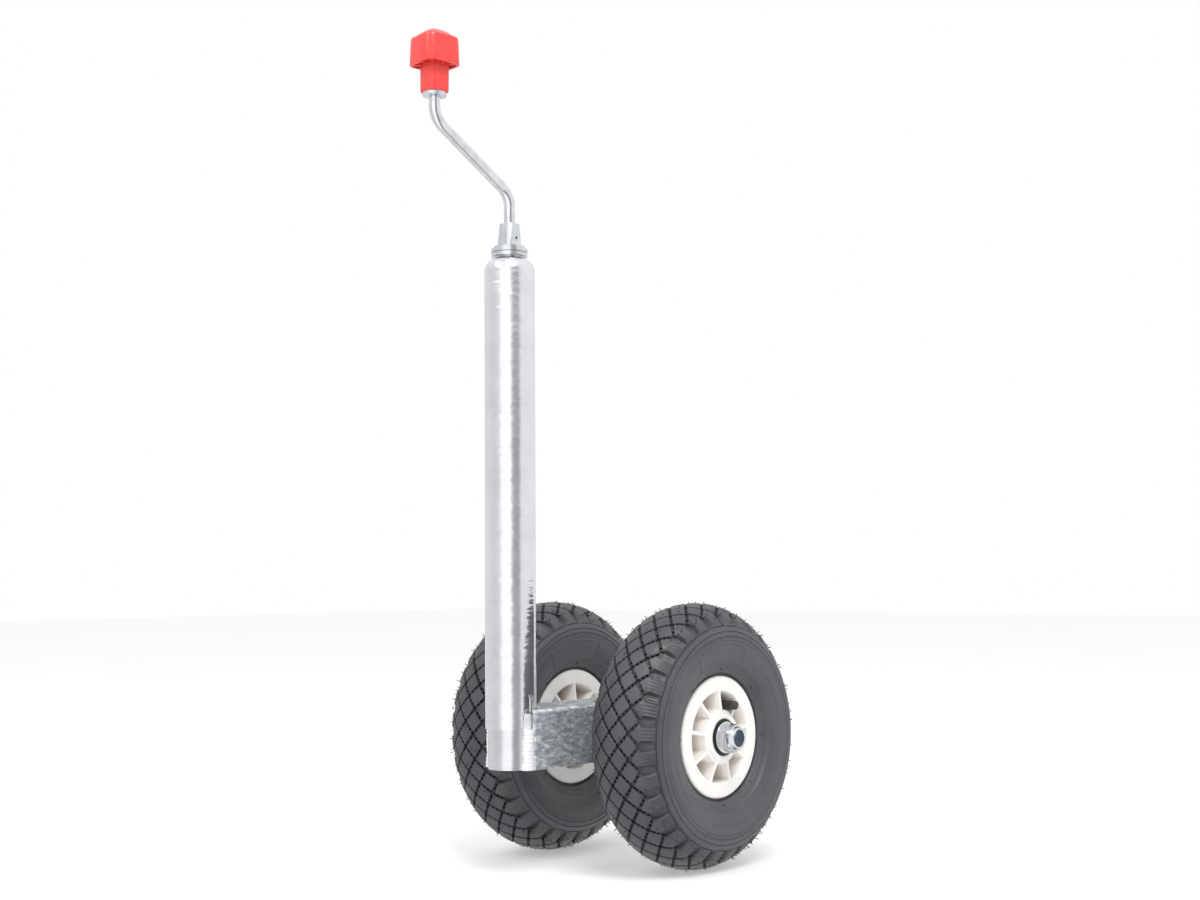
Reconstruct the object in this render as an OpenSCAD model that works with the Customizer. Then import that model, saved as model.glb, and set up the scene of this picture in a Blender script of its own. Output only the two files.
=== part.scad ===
// Trailer jack wheel: a telescopic column with a crank on top and a pair of pneumatic wheels
// on one axle behind its foot.
// Frame: origin on the column's axis, half way up the straight run that the coupling clamp
// grips. +Z is up along the column, +X runs back to the axle, Y is along the axle.

/* [Column] */
// Outside diameter of the outer tube
column_d = 48; // [42:1:60]
// Wall of the outer tube
column_wall = 2.5; // [2:0.1:3]
// Length of the outer tube's straight run
column_len = 430; // [380:10:480]
// Radius of the drawn-in shoulder at the top
shoulder_r = 13; // [8:1:14]
// Outside diameter of the inner tube
slider_d = 42.4; // [40:0.1:42.4]
// Wall of the inner tube
slider_wall = 2.7; // [2:0.1:3]
// How far the inner tube shows below the outer tube as drawn
slider_out = 37; // [35:1:60]
// Width of the two slots at the outer tube's foot
slot_w = 14; // [13.6:0.1:16]
// Length of the slots up from the foot
slot_len = 32.3; // [32:0.1:40]

/* [Spindle] */
// Outer diameter of the spindle's thread
spindle_d = 16; // [14:1:18]
// Diameter of the journal through the top
journal_d = 14; // [13:0.5:14]
// Outside diameter of the thrust bearing
race_d = 34.7; // [32:0.1:36]
// Height of the spindle's lower end below the origin
spindle_low = 62; // [60:1:80]
// Number of balls in the thrust bearing
thrust_balls_n = 12; // [8:1:14]

/* [Crank] */
// Diameter of the crank's rod
rod_d = 11; // [10:0.5:11]
// Throw of the crank
throw = 97; // [80:1:110]
// Height of the lower bend's corner
bend_low_z = 289.3; // [285:0.1:300]
// Height of the upper bend's corner
bend_high_z = 344.5; // [335:0.1:350]
// Centre-line radius of both bends
bend_r = 20; // [14:1:24]
// Width across the flats of the knob's head
knob_w = 37; // [34:0.5:40]
// Width across the flats of the knob's neck
neck_w = 21; // [19:0.5:24]
// How far the knob stands turned on the rod, in degrees
knob_turn = 7; // [0:1:89]

/* [Wheels] */
// Distance from the column's axis back to the axle
axle_x = 157.6; // [150:0.1:170]
// Height of the axle below the origin
axle_drop = 228; // [225:1:235]
// Distance between the mid-planes of the two wheels
track = 187.4; // [180:0.1:200]
// Outside diameter of the tyres
tyre_d = 254; // [240:1:258]
// Width of the tyres
tyre_w = 85; // [76:1:88]
// Radius of the rim's flange
flange_r = 57.8; // [56:0.1:60]
// Diameter of the axle
axle_d = 16; // [15:1:16]
// Number of ribs on each face of a rim
rib_n = 9; // [6:1:10]
// Angle of the tyre valve round the wheel
valve_angle = 66; // [60:1:75]

/* [Bracket] */
// Thickness of the folded plate
plate_t = 4; // [3:0.5:4]
// Overall width of the bracket
bracket_w = 60; // [60:1:64]
// Height of the bracket
bracket_h = 55; // [50:1:56]
// Distance the bracket runs past the axle
bracket_tail = 27; // [24:1:32]

/* [Hidden] */
$fn = 96;
gap = 0.05;     // running clearance on a radius
eps = 0.02;     // keeps faces that touch apart
bend_lap = 0.3; // the rod's straights run this far into its bends
over = 1;       // cutters run past what they cut

// heights on the column
column_r = column_d / 2;
foot_z = -column_len / 2;
shoulder_z = column_len / 2;
dome_z = shoulder_z + shoulder_r;
seat_top_z = dome_z + 1.2;
slider_r = slider_d / 2;
slider_foot_z = foot_z - slider_out;
slider_top_z = 195;
nut_len = 25;
nut_flange = 3;
slot_round_z = foot_z + slot_len - slot_w / 2;

// thrust bearing, from the dome up
race_r = race_d / 2;
race_t = 3.4;
race_gap = 0.8;
ball_r = 2;
ball_mid_z = seat_top_z + race_t + race_gap / 2;
ball_track_r = 13.2;
upper_race_z = seat_top_z + race_t + race_gap;
washer_z = upper_race_z + race_t;
washer_t = 2.2;
washer_r = 15;
cage_t = 0.5;
journal_r = journal_d / 2;

// socket and crank
socket_z = washer_z + washer_t;
socket_h = 22;
socket_corner_low = 11.5;
socket_corner_high = 9.3;
socket_flat_low = 9.6;
socket_flat_high = 7.9;
stub_r = 6;
stub_top_z = socket_z + 13;
pin_r = 1.75;
pin_z = socket_z + 8;
rod_r = rod_d / 2;
rod_foot_z = stub_top_z + 1;
lean = atan2(throw, bend_high_z - bend_low_z);
bend_tangent = bend_r * tan(lean / 2);
arm_len = norm([throw, bend_high_z - bend_low_z]);

// knob
knob_z = 368;
neck_h = 25;
skirt_z = knob_z + neck_h;
knob_side_z = 417;
knob_top_z = 427;
knob_corner_r = 8;
neck_corner_r = 4;
knob_wall = 3;
knob_ribs = 8;
knob_rib_t = 2;
dome_sphere_r = 30;
rod_top_z = 406;
ring_z = 399;
ring_t = 1.8;
ring_groove = 2;
ring_r = 6.3;
ring_in_r = 4.6;
push_nut_t = 3;
push_nut_r = 11;

// wheels, measured out from each wheel's mid-plane
wheel_y = track / 2;
tyre_r = tyre_d / 2;
section_mid_r = 88.5;
section_power = 1;
bead_r = 50.8;
bead_w = 27;
flange_face = 31;
flange_in_r = 43.5;
hub_end = 35.5;
hub_r = 26;
hub_nose_r = 22.5;
bearing_r = 17.5;
bearing_in = 23;
bearing_out = 34;
inner_race_r = 10.5;
inner_race_out = 36;
outer_race_r = 15;
hub_bore_r = 14;
web_half = 2.5;
rib_t = 3;
tyre_wall = 6;
tread_t = 9;
air_r = 28.5;
air_wall = 2;
valve_r = 32.3;
stem_r = 3;
stem_bend_r = 5;
stem_out = 10;
cap_r = 4.65;
cap_in = 21;
cap_len = 20;
axle_r = axle_d / 2;
axle_washer_r = 15;
axle_washer_t = 3;
axle_end = 54;
nut_af = 24;
nut_hex = 11;
wheel_ball_r = 2.2;
wheel_ball_track = (inner_race_r + outer_race_r) / 2;
wheel_balls_n = 10;

// bracket
plate_in = bracket_w / 2 - plate_t;
bracket_front_x = 2;
bend_outer_r = 5;
web_cut_r = 25.5;
bracket_end_x = axle_x + bracket_tail;
end_corner_r = 12;
bead_top_z = slider_foot_z + 51.6;
bead_round_r = 6.3;
bead_x = -0.3;
bead_y = 23.2;

steel = [0.85, 0.86, 0.88];
zinc = [0.60, 0.63, 0.67];
bright = [0.93, 0.93, 0.95];
nylon = [0.90, 0.88, 0.84];
rubber = [0.27, 0.27, 0.29];
red = [0.94, 0.32, 0.28];

// a ring with a bore, standing on height z
module ring(outer, inner, z, h) {
    translate([0, 0, z]) difference() {
        cylinder(h = h, r = outer);
        translate([0, 0, -over]) cylinder(h = h + 2 * over, r = inner);
    }
}

// a square with round corners, w across the flats
module round_square(w, r) {
    square([w, w - 2 * r], center = true);
    square([w - 2 * r, w], center = true);
    for (sx = [-1, 1], sy = [-1, 1])
        translate([sx * (w / 2 - r), sy * (w / 2 - r)]) circle(r);
}

// puts a wheel's pieces, drawn with their outer side up, on the near side of the axle
module on_near_side() {
    translate([axle_x, -wheel_y, -axle_drop]) rotate([90, 0, 0]) children();
}

// the far side is the near side's mirror image
module on_far_side() {
    mirror([0, 1, 0]) on_near_side() children();
}

// both sides of a wheel's mid-plane
module both_faces() {
    children();
    mirror([0, 0, 1]) children();
}

// ---- column ----
module outer_tube() {
    inner_r = column_r - column_wall;
    color(steel) difference() {
        rotate_extrude() {
            translate([inner_r, foot_z]) square([column_wall, column_len]);
            intersection() {
                difference() {
                    translate([column_r - shoulder_r, shoulder_z]) circle(shoulder_r);
                    translate([column_r - shoulder_r, shoulder_z])
                        circle(shoulder_r - column_wall);
                }
                translate([column_r - shoulder_r, shoulder_z]) square(shoulder_r);
            }
            translate([journal_r + gap, dome_z - column_wall])
                square([column_r - shoulder_r - journal_r - gap, column_wall]);
            translate([journal_r + gap, dome_z - eps]) square([4, seat_top_z - dome_z + eps]);
        }
        for (side = [-1, 1]) {
            translate([-slot_w / 2, side * column_r - column_r / 2, foot_z - over])
                cube([slot_w, column_r, slot_round_z - foot_z + over]);
            translate([0, side * column_r, slot_round_z]) rotate([90, 0, 0])
                cylinder(h = column_r, d = slot_w, center = true);
        }
    }
}

// ---- thrust bearing ----
module raceway() {
    rotate_extrude() translate([ball_track_r, ball_mid_z]) circle(ball_r + gap, $fn = 32);
}

module lower_race() {
    color(bright) difference() {
        ring(race_r, journal_r + 0.3, seat_top_z, race_t);
        raceway();
    }
}

module upper_race() {
    color(bright) difference() {
        ring(race_r, journal_r, upper_race_z, race_t);
        raceway();
    }
}

module thrust_balls() {
    color(bright) for (i = [0 : thrust_balls_n - 1])
        rotate([0, 0, i * 360 / thrust_balls_n])
            translate([ball_track_r, 0, ball_mid_z]) sphere(ball_r, $fn = 32);
}

module ball_cage() {
    color("goldenrod") difference() {
        ring(16, 10, ball_mid_z - cage_t / 2, cage_t);
        for (i = [0 : thrust_balls_n - 1])
            rotate([0, 0, i * 360 / thrust_balls_n])
                translate([ball_track_r, 0, ball_mid_z - over])
                    cylinder(h = 2 * over, r = ball_r + 0.15);
    }
}

module top_washer() {
    color(bright) ring(washer_r, journal_r, washer_z, washer_t);
}

// ---- spindle ----
module spindle() {
    thread_top = shoulder_z + 3;
    color(zinc) difference() {
        union() {
            translate([0, 0, -spindle_low])
                cylinder(h = spindle_low + thread_top, d = spindle_d);
            translate([0, 0, thread_top - eps])
                cylinder(h = socket_z - thread_top + eps, r = journal_r);
            translate([0, 0, socket_z - eps])
                cylinder(h = stub_top_z - socket_z + eps, r = stub_r);
        }
        translate([0, 0, pin_z]) rotate([90, 0, 0])
            cylinder(h = column_d, r = pin_r, center = true);
    }
}

module thrust_collar() {
    color(zinc) ring(11.5, journal_r, shoulder_z + 3, 6.5);
}

module end_stop() {
    color(zinc) ring(14, spindle_d / 2, -spindle_low + 2, 9);
}

// ---- crank ----
module crank_socket() {
    color(bright) difference() {
        intersection() {
            translate([0, 0, socket_z])
                cylinder(h = socket_h, r1 = socket_corner_low, r2 = socket_corner_high);
            translate([0, 0, socket_z]) rotate([0, 0, 45])
                cylinder(h = socket_h, r1 = socket_flat_low * sqrt(2),
                    r2 = socket_flat_high * sqrt(2), $fn = 4);
        }
        translate([0, 0, socket_z - over])
            cylinder(h = stub_top_z - socket_z + over, r = stub_r);
        translate([0, 0, rod_foot_z]) cylinder(h = socket_h, r = rod_r);
        translate([0, 0, pin_z]) rotate([90, 0, 0])
            cylinder(h = column_d, r = pin_r, center = true);
    }
}

module roll_pin() {
    pin_len = 18.6;
    color(zinc) translate([0, 0, pin_z]) rotate([90, 0, 0]) difference() {
        cylinder(h = pin_len, r = pin_r, center = true);
        cylinder(h = pin_len + over, r = pin_r - 0.7, center = true);
        translate([0, 0.1 - pin_r, 0])
            cube([0.5, pin_r, pin_len + over], center = true);
    }
}

// a quarter-turn-or-less bend that leaves straight up and leans towards -X
module rod_bend() {
    rotate([90, 0, 0]) translate([-bend_r, 0, 0])
        rotate_extrude(angle = lean) translate([bend_r, 0]) circle(rod_r + eps);
}

module crank_rod() {
    arm_x = -bend_tangent * sin(lean);
    arm_z = bend_low_z + bend_tangent * cos(lean);
    low_len = bend_low_z - bend_tangent - rod_foot_z;
    high_z = bend_high_z + bend_tangent;
    color(steel) {
        translate([0, 0, rod_foot_z]) cylinder(h = low_len + bend_lap, r = rod_r);
        translate([0, 0, bend_low_z - bend_tangent]) rod_bend();
        translate([arm_x, 0, arm_z]) rotate([0, -lean, 0])
            translate([0, 0, -bend_lap])
                cylinder(h = arm_len - 2 * (bend_tangent - bend_lap), r = rod_r);
        translate([-throw, 0, high_z]) rotate([0, 180, 0]) rod_bend();
        translate([-throw, 0, high_z - bend_lap]) {
            cylinder(h = ring_z - high_z + bend_lap, r = rod_r);
            cylinder(h = rod_top_z - high_z, r = ring_in_r);
        }
        translate([-throw, 0, ring_z + ring_t])
            cylinder(h = rod_top_z - ring_z - ring_t, r = rod_r);
    }
}

module push_nut() {
    color(bright) translate([-throw, 0, 0])
        ring(push_nut_r, rod_r, knob_z - 0.3 - push_nut_t, push_nut_t);
}

module snap_ring() {
    color(zinc) translate([-throw, 0, 0]) ring(ring_r, ring_in_r, ring_z, ring_t);
}

module knob() {
    hollow_h = knob_side_z - knob_wall - skirt_z;
    color(red) translate([-throw, 0, 0]) rotate([0, 0, -knob_turn]) difference() {
        union() {
            intersection() {
                translate([0, 0, skirt_z]) linear_extrude(knob_top_z - skirt_z)
                    round_square(knob_w, knob_corner_r);
                translate([0, 0, knob_top_z - dome_sphere_r - 16]) sphere(dome_sphere_r + 16);
            }
            translate([0, 0, knob_z]) linear_extrude(neck_h + over)
                round_square(neck_w, neck_corner_r);
        }
        difference() {
            translate([0, 0, skirt_z - over]) linear_extrude(hollow_h + over)
                round_square(knob_w - 2 * knob_wall, knob_corner_r - knob_wall);
            translate([0, 0, skirt_z - 2 * over]) linear_extrude(hollow_h + 4 * over)
                round_square(neck_w, neck_corner_r);
            for (i = [0 : knob_ribs - 1]) rotate([0, 0, i * 360 / knob_ribs])
                translate([0, -knob_rib_t / 2, skirt_z + 3])
                    cube([knob_w, knob_rib_t, hollow_h]);
        }
        translate([0, 0, knob_z - over])
            cylinder(h = rod_top_z + 1 - knob_z + over, r = rod_r + gap);
        translate([0, 0, ring_z - 0.1]) cylinder(h = ring_groove, r = ring_r + 0.1);
    }
}

// ---- inner tube and bracket ----
module inner_tube() {
    color(steel)
        ring(slider_r, slider_r - slider_wall, slider_foot_z, slider_top_z - slider_foot_z);
}

module spindle_nut() {
    bore = spindle_d / 2 + gap;
    color(zinc) {
        ring(slider_r - slider_wall - eps, bore, slider_top_z - nut_len, nut_len + nut_flange);
        ring(slider_r, bore, slider_top_z, nut_flange);
    }
}

module weld_beads() {
    color(bright) for (side = [-1, 1]) difference() {
        translate([bead_x, side * bead_y, slider_foot_z]) {
            cylinder(h = bead_top_z - slider_foot_z - 4, r = bead_round_r);
            translate([0, 0, bead_top_z - slider_foot_z - 4])
                cylinder(h = 4, r1 = bead_round_r, r2 = 4);
        }
        translate([0, 0, slider_foot_z - over])
            cylinder(h = bracket_h + 2 * over, r = slider_r + eps);
        // dressed flush inside the slots, so that a clamp can slide over the whole tube
        translate([0, 0, foot_z - 1])
            ring(3 * column_r, column_r - 0.1, 0, bracket_h);
        translate([bracket_front_x - eps, side > 0 ? plate_in - eps : -bracket_w, 0])
            translate([0, 0, slider_foot_z - over])
                cube([bracket_w, bracket_w - plate_in + eps, bracket_h + 2 * over]);
    }
}

module axle_bracket() {
    length = bracket_end_x - bracket_front_x;
    color(zinc) difference() {
        translate([bracket_front_x, 0, slider_foot_z]) rotate([90, 0, 90])
            linear_extrude(length) difference() {
                union() {
                    translate([-bracket_w / 2, 0])
                        square([bracket_w, bracket_h - bend_outer_r]);
                    translate([-bracket_w / 2 + bend_outer_r, 0])
                        square([bracket_w - 2 * bend_outer_r, bracket_h]);
                    for (side = [-1, 1])
                        translate([side * (bracket_w / 2 - bend_outer_r),
                            bracket_h - bend_outer_r]) circle(bend_outer_r);
                }
                translate([-plate_in, -over])
                    square([2 * plate_in, bracket_h - plate_t + over]);
            }
        translate([0, 0, slider_foot_z - over])
            cylinder(h = bracket_h + 2 * over, r = web_cut_r);
        translate([-column_d, -web_cut_r, slider_foot_z + bracket_h / 2])
            cube([column_d, 2 * web_cut_r, bracket_h]);
        // the plates' lower rear corners are rounded
        difference() {
            translate([bracket_end_x - end_corner_r, -bracket_w, slider_foot_z - over])
                cube([end_corner_r + over, 2 * bracket_w, end_corner_r + over]);
            translate([bracket_end_x - end_corner_r, 0, slider_foot_z + end_corner_r])
                rotate([90, 0, 0])
                    cylinder(h = 3 * bracket_w, r = end_corner_r, center = true);
        }
        translate([axle_x, 0, -axle_drop]) rotate([90, 0, 0])
            cylinder(h = 2 * bracket_w, r = axle_r + eps, center = true);
    }
}

// ---- axle ----
module axle() {
    color(zinc) translate([axle_x, 0, -axle_drop]) rotate([90, 0, 0])
        cylinder(h = 2 * (wheel_y + axle_end), r = axle_r, center = true);
}

module crush_tube() {
    length = 2 * (plate_in - eps);
    color(steel) translate([axle_x, 0, -axle_drop]) rotate([90, 0, 0])
        ring(12, axle_r + eps, -length / 2, length);
}

module spacer_tube() {
    from = inner_race_out + eps;
    ring(12.5, axle_r + eps, -(wheel_y - bracket_w / 2 - eps), wheel_y - bracket_w / 2 - from);
}

module spacer_tubes() {
    color(bright) {
        on_near_side() spacer_tube();
        on_far_side() spacer_tube();
    }
}

module hub_tubes() {
    length = 2 * (bearing_in - eps);
    color(steel) {
        on_near_side() ring(inner_race_r, axle_r + eps, -length / 2, length);
        on_far_side() ring(inner_race_r, axle_r + eps, -length / 2, length);
    }
}

module inner_race() {
    both_faces() ring(inner_race_r, axle_r + eps, bearing_in, inner_race_out - bearing_in);
}

module inner_races() {
    color(bright) {
        on_near_side() inner_race();
        on_far_side() inner_race();
    }
}

module axle_washer() {
    ring(axle_washer_r, axle_r + eps, inner_race_out + eps, axle_washer_t);
}

module axle_washers() {
    color(bright) {
        on_near_side() axle_washer();
        on_far_side() axle_washer();
    }
}

module axle_nut() {
    low = inner_race_out + axle_washer_t + 2 * eps;
    translate([0, 0, low]) difference() {
        union() {
            intersection() {
                rotate([0, 0, 30]) cylinder(h = nut_hex, d = nut_af / cos(30), $fn = 6);
                translate([0, 0, -1]) cylinder(h = nut_hex + 1, r1 = 17, r2 = 12.4);
            }
            translate([0, 0, nut_hex - eps]) cylinder(h = 3.5, r1 = 11.2, r2 = 10);
        }
        translate([0, 0, -over]) cylinder(h = nut_af, r = axle_r + eps);
    }
}

module axle_nuts() {
    color(bright) {
        on_near_side() axle_nut();
        on_far_side() axle_nut();
    }
}

// ---- wheels ----
function bulge(v) = sign(v) * pow(abs(v), section_power);

// the tyre's section: rounded outside, bead on the rim, rounded inside
section_end = 141;
section_steps = 24;
tyre_outside = [for (i = [-section_steps : section_steps])
    let (a = section_end * i / section_steps)
    [section_mid_r + (tyre_r - section_mid_r) * bulge(cos(a)), tyre_w / 2 * bulge(sin(a))]];
tyre_inside = [for (i = [-section_steps : section_steps])
    let (a = -section_end * i / section_steps)
    [section_mid_r + (tyre_r - tread_t - section_mid_r) * bulge(cos(a)),
        (tyre_w / 2 - tyre_wall) * bulge(sin(a))]];
bead_tip = bead_w - 0.1;
lip_r = flange_r + 0.5;
bead_toe = 16;
tyre_section = concat(
    tyre_outside,
    [[lip_r, bead_tip], [bead_r + 0.1, bead_tip], [bead_r + 0.1, bead_toe]],
    tyre_inside,
    [[bead_r + 0.1, -bead_toe], [bead_r + 0.1, -bead_tip], [lip_r, -bead_tip]]);

module tyre() {
    color(rubber) rotate_extrude() polygon(tyre_section);
}

module air_tube() {
    color("dimgray") difference() {
        rotate_extrude() translate([section_mid_r + 0.5, 0]) difference() {
            circle(air_r);
            circle(air_r - air_wall);
        }
        rotate([0, 0, valve_angle]) translate([bead_r, 0, 0]) rotate([0, 90, 0])
            cylinder(h = air_r, r = stem_r);
    }
}

module rim() {
    color(nylon) difference() {
        union() {
            rotate_extrude() union() {
                translate([flange_in_r, -bead_w]) square([bead_r - flange_in_r, 2 * bead_w]);
                for (side = [-1, 1])
                    translate([flange_in_r, side > 0 ? bead_w : -flange_face])
                        square([flange_r - flange_in_r, flange_face - bead_w]);
                translate([hub_r - eps, -web_half])
                    square([flange_in_r - hub_r + 2 * eps, 2 * web_half]);
                polygon([[hub_bore_r, -hub_end], [hub_nose_r, -hub_end], [hub_r, -web_half],
                    [hub_r, web_half], [hub_nose_r, hub_end], [hub_bore_r, hub_end]]);
            }
            both_faces() for (i = [0 : rib_n - 1]) rotate([0, 0, 90 + i * 360 / rib_n])
                rotate([90, 0, 0]) translate([0, 0, -rib_t / 2]) linear_extrude(rib_t)
                    polygon([[hub_nose_r - 4, 0], [flange_in_r + 1, 0],
                        [flange_in_r + 1, flange_face - 3], [hub_nose_r, hub_end - 2],
                        [hub_nose_r - 4, hub_end - 2]]);
        }
        both_faces() translate([0, 0, bearing_in]) cylinder(h = hub_end, r = bearing_r);
        // hole that the valve's stem comes in through
        rotate([0, 0, valve_angle]) translate([valve_r, 0, stem_out]) rotate([0, 90, 0])
            cylinder(h = flange_r, r = stem_r + 1.2);
        cylinder(h = 2 * flange_r, r = hub_bore_r, center = true);
    }
}

module valve_stem() {
    color("peru") rotate([0, 0, valve_angle]) {
        // in from the air tube, across to the outer side, then straight out
        translate([valve_r + stem_bend_r, 0, stem_out]) rotate([0, 90, 0])
            cylinder(h = section_mid_r - air_r + 1 - valve_r - stem_bend_r, r = stem_r);
        translate([valve_r + stem_bend_r, 0, stem_out + stem_bend_r]) rotate([90, 0, 0])
            rotate([0, 0, 180]) rotate_extrude(angle = 90)
                translate([stem_bend_r, 0]) circle(stem_r);
        translate([valve_r, 0, stem_out + stem_bend_r])
            cylinder(h = cap_in - stem_out - stem_bend_r + 12, r = stem_r);
    }
}

module valve_cap() {
    color([0.2, 0.2, 0.2]) rotate([0, 0, valve_angle]) translate([valve_r, 0, cap_in])
        difference() {
            union() {
                cylinder(h = cap_len - 2, r = cap_r);
                translate([0, 0, cap_len - 2]) cylinder(h = 2, r1 = cap_r, r2 = cap_r - 1.5);
            }
            translate([0, 0, -over]) cylinder(h = 12 + over, r = stem_r);
        }
}

module outer_races() {
    color(bright) both_faces()
        ring(bearing_r, outer_race_r, bearing_in + eps, bearing_out - bearing_in - eps);
}

module wheel_balls() {
    color(bright) both_faces() for (i = [0 : wheel_balls_n - 1])
        rotate([0, 0, i * 360 / wheel_balls_n])
            translate([wheel_ball_track, 0, (bearing_in + bearing_out) / 2])
                sphere(wheel_ball_r, $fn = 32);
}

module seals() {
    color([0.15, 0.15, 0.16]) both_faces()
        ring(bearing_r, inner_race_r + 0.1, bearing_out + eps, hub_end - bearing_out - eps);
}

outer_tube();
lower_race();
thrust_balls();
ball_cage();
upper_race();
top_washer();
spindle();
thrust_collar();
end_stop();
crank_socket();
roll_pin();
crank_rod();
push_nut();
snap_ring();
knob();
inner_tube();
spindle_nut();
weld_beads();
axle_bracket();
axle();
crush_tube();
spacer_tubes();
hub_tubes();
inner_races();
axle_washers();
axle_nuts();
on_near_side() tyre();  // near_tyre
on_near_side() air_tube();  // near_air_tube
on_near_side() rim();  // near_rim
on_near_side() valve_stem();  // near_valve_stem
on_near_side() valve_cap();  // near_valve_cap
on_near_side() outer_races();  // near_outer_races
on_near_side() wheel_balls();  // near_wheel_balls
on_near_side() seals();  // near_seals
on_far_side() tyre();  // far_tyre
on_far_side() air_tube();  // far_air_tube
on_far_side() rim();  // far_rim
on_far_side() valve_stem();  // far_valve_stem
on_far_side() valve_cap();  // far_valve_cap
on_far_side() outer_races();  // far_outer_races
on_far_side() wheel_balls();  // far_wheel_balls
on_far_side() seals();  // far_seals
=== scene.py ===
import math
import random
from math import asin, atan2, cos, pi, radians, sin, sqrt

import bmesh
import bpy
import numpy as np
from mathutils import Matrix, Vector


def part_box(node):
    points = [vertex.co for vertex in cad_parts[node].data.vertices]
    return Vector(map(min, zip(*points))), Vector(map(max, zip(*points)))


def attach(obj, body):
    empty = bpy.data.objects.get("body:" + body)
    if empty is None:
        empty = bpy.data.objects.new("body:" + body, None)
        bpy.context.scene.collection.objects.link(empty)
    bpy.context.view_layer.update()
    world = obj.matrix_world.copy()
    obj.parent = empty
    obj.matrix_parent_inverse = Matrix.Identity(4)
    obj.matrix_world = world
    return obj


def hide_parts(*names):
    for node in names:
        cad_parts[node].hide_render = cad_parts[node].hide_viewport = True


MM = 0.001
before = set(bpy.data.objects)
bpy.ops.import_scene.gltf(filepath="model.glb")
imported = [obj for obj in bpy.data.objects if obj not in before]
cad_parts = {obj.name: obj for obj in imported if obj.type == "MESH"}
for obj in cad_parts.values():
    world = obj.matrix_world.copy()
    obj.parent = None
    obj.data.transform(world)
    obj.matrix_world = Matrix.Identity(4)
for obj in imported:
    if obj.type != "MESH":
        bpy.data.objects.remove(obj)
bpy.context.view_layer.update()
random.seed(11)


# ---------------------------------------------------------------- frame
def box_mm(node):
    low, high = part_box(node)
    return np.array(low) / MM, np.array(high) / MM


def centre(node):
    low, high = box_mm(node)
    return (low + high) / 2


AXLE = centre("axle")
WHEEL_Y = -centre("near_rim")[1]
FLOOR_Z = box_mm("near_tyre")[0][2]
TYRE_R = (box_mm("near_tyre")[1][2] - FLOOR_Z) / 2
TYRE_W = float(np.ptp([b[1] for b in box_mm("near_tyre")]))


def hub_place(points, side):
    """A wheel's own coordinates (x back, y up, z out from its mid-plane) put on the axle."""
    p = np.asarray(points, float)
    y = side * (WHEEL_Y + p[:, 2])
    return np.column_stack([AXLE[0] + p[:, 0], y, AXLE[2] + p[:, 1]])


# ---------------------------------------------------------------- mesh helpers
def piece(name, verts, faces, body, material, slot, replaces=(), sharp=38):
    """A mesh piece from millimetre points; it rides on a body and may stand for CAD nodes."""
    mesh = bpy.data.meshes.new(name)
    mesh.from_pydata((np.asarray(verts, float) * MM).tolist(), [], faces)
    mesh.validate()
    return as_piece(name, mesh, body, material, slot, replaces, sharp)


def as_piece(name, mesh, body, material, slot, replaces=(), sharp=38):
    obj = bpy.data.objects.new(name, mesh)
    bpy.context.scene.collection.objects.link(obj)
    mesh.materials.clear()
    mesh.materials.append(material)
    mesh.shade_smooth()
    mesh.set_sharp_from_angle(angle=radians(sharp))
    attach(obj, body)
    if replaces:
        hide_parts(*replaces)
    return obj


def grid_faces(rows, columns, base=0, wrap_rows=False, wrap_columns=True):
    """Quads over rows of points, each row with the same number of columns."""
    out = []
    for i in range(rows if wrap_rows else rows - 1):
        i2 = (i + 1) % rows
        for j in range(columns if wrap_columns else columns - 1):
            j2 = (j + 1) % columns
            out.append((base + i * columns + j, base + i * columns + j2,
                        base + i2 * columns + j2, base + i2 * columns + j))
    return out


def loft(rings, closed=False, caps=True):
    """Skin over rings of points that all have the same count."""
    rings = [np.asarray(r, float) for r in rings]
    n = len(rings[0])
    verts = np.vstack(rings)
    faces = grid_faces(len(rings), n, wrap_rows=closed)
    if caps and not closed:
        faces.append(tuple(reversed(range(n))))
        faces.append(tuple(range((len(rings) - 1) * n, len(rings) * n)))
    return verts, faces


def circle(r, n, z=0.0, x=0.0, y=0.0, start=0.0):
    a = start + np.arange(n) * 2 * pi / n
    return np.column_stack([x + r * np.cos(a), y + r * np.sin(a), np.full(n, z)])


def lathe(profile, n=96):
    """A closed solid of revolution about z; the profile is (radius, height) with no axis points."""
    return loft([circle(r, n, z) for r, z in profile], closed=True)


def join(*parts):
    verts, faces, base = [], [], 0
    for v, f in parts:
        verts.append(np.asarray(v, float))
        faces += [tuple(i + base for i in q) for q in f]
        base += len(v)
    return np.vstack(verts), faces


def moved(part, matrix=None, offset=(0, 0, 0)):
    v, f = part
    v = np.asarray(v, float)
    if matrix is not None:
        v = v @ np.array(matrix.to_3x3()).T
    return v + np.array(offset, float), f


def round_square(w, r, z, per_corner=9, x=0.0, y=0.0):
    """A square ring of points with round corners, w across the flats."""
    pts = []
    for q in range(4):
        c = w / 2 - r
        cx, cy = (c, c) if q == 0 else (-c, c) if q == 1 else (-c, -c) if q == 2 else (c, -c)
        for k in range(per_corner):
            a = q * pi / 2 + (pi / 2) * k / (per_corner - 1)
            pts.append((x + cx + r * cos(a), y + cy + r * sin(a), z))
    return np.array(pts)


def tube_along(path, r, n=28):
    """A round tube with flat ends along a path of points."""
    path = [Vector(p) for p in path]
    rings = []
    normal = Vector((0, 1, 0))
    for i, p in enumerate(path):
        d = (path[min(i + 1, len(path) - 1)] - path[max(i - 1, 0)]).normalized()
        side = d.cross(normal).normalized()
        up = side.cross(d)
        radius = r[i] if isinstance(r, (list, tuple)) else r
        rings.append([tuple(p + side * (radius * cos(a)) + up * (radius * sin(a)))
                      for a in (k * 2 * pi / n for k in range(n))])
    return loft(rings)


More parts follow.
